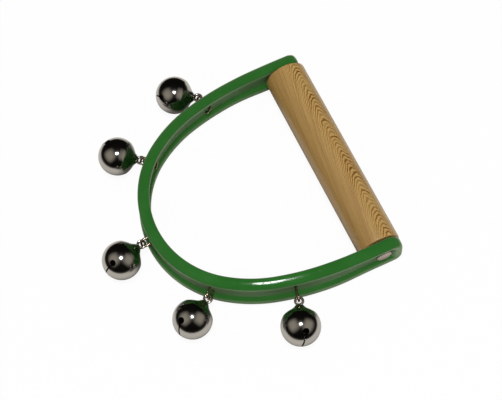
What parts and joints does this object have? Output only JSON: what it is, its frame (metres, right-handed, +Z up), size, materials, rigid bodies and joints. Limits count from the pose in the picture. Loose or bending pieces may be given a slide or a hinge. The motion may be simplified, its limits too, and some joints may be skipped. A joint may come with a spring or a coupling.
{
  "type": "jingle ring",
  "caption": "Hand-held jingle ring: a bent plastic strap with rounded rims on a wooden dowel handle, with ball jingle bells hooked on wire loops round the bow.",
  "frame": {"origin": "centre of the bounding box at its base, on the table the ring lies on", "axes": "+Y along the handle towards the far arm, -X from the handle to the middle of the bow, +Z up"},
  "size_m": [0.1534, 0.1814, 0.024],
  "materials": {
    "strap_plastic": "glossy green",
    "handle_wood": "smooth, clear lacquer",
    "screw_metal": "zinc plated",
    "loop_wire": "bright drawn wire",
    "eye_wire": "nickel plated wire",
    "bell_metal": "bright nickel plate",
    "pellet_steel": "plain steel ball"
  },
  "bodies": {
    "ring": {"strap": "strap_plastic", "handle": "handle_wood", "screw_near": "screw_metal", "screw_far": "screw_metal", "bell_loop_1": "loop_wire", "bell_loop_2": "loop_wire", "bell_loop_3": "loop_wire", "bell_loop_4": "loop_wire", "bell_loop_5": "loop_wire"},
    "bell_1": {"bell_shell_1": "bell_metal", "bell_eye_1": "eye_wire"},
    "pellet_1": {"bell_pellet_1": "pellet_steel"},
    "bell_2": {"bell_shell_2": "bell_metal", "bell_eye_2": "eye_wire"},
    "pellet_2": {"bell_pellet_2": "pellet_steel"},
    "bell_3": {"bell_shell_3": "bell_metal", "bell_eye_3": "eye_wire"},
    "pellet_3": {"bell_pellet_3": "pellet_steel"},
    "bell_4": {"bell_shell_4": "bell_metal", "bell_eye_4": "eye_wire"},
    "pellet_4": {"bell_pellet_4": "pellet_steel"},
    "bell_5": {"bell_shell_5": "bell_metal", "bell_eye_5": "eye_wire"},
    "pellet_5": {"bell_pellet_5": "pellet_steel"}
  },
  "joints": [
    {"name": "bell_swing_1", "type": "hinge", "parent": "ring", "child": "bell_1", "pos_m": [0.0116, -0.06668, 0.012], "axis": [0, 0, -1], "range_deg": [-70, 50]},
    {"name": "bell_swing_2", "type": "hinge", "parent": "ring", "child": "bell_2", "pos_m": [-0.03212, -0.04412, 0.012], "axis": [0, 0, -1], "range_deg": [-77.9, 42.1]},
    {"name": "bell_swing_3", "type": "hinge", "parent": "ring", "child": "bell_3", "pos_m": [-0.0522, 0.00105, 0.012], "axis": [0, 0, -1], "range_deg": [-46.1, 73.9]},
    {"name": "bell_swing_4", "type": "hinge", "parent": "ring", "child": "bell_4", "pos_m": [-0.03245, 0.04892, 0.012], "axis": [0, 0, -1], "range_deg": [-51.6, 68.4]},
    {"name": "bell_swing_5", "type": "hinge", "parent": "ring", "child": "bell_5", "pos_m": [0.01313, 0.07168, 0.012], "axis": [0, 0, -1], "range_deg": [-16.6, 103.4]},
    {"name": "pellet_roll_1", "type": "hinge", "parent": "bell_1", "child": "pellet_1", "pos_m": [0.00635, -0.07967, 0.011], "axis": [-0.3742, -0.9246, -0.0712], "continuous": true},
    {"name": "pellet_roll_2", "type": "hinge", "parent": "bell_2", "child": "pellet_2", "pos_m": [-0.04436, -0.05094, 0.011], "axis": [-0.8715, -0.4853, -0.0712], "continuous": true},
    {"name": "pellet_roll_3", "type": "hinge", "parent": "bell_3", "child": "pellet_3", "pos_m": [-0.06572, -0.00265, 0.011], "axis": [-0.9621, -0.2631, -0.0712], "continuous": true},
    {"name": "pellet_roll_4", "type": "hinge", "parent": "bell_4", "child": "pellet_4", "pos_m": [-0.04346, 0.05757, 0.011], "axis": [-0.7844, 0.6161, -0.0712], "continuous": true},
    {"name": "pellet_roll_5", "type": "hinge", "parent": "bell_5", "child": "pellet_5", "pos_m": [0.00167, 0.07974, 0.011], "axis": [-0.8163, 0.5732, -0.0712], "continuous": true}
  ]
}
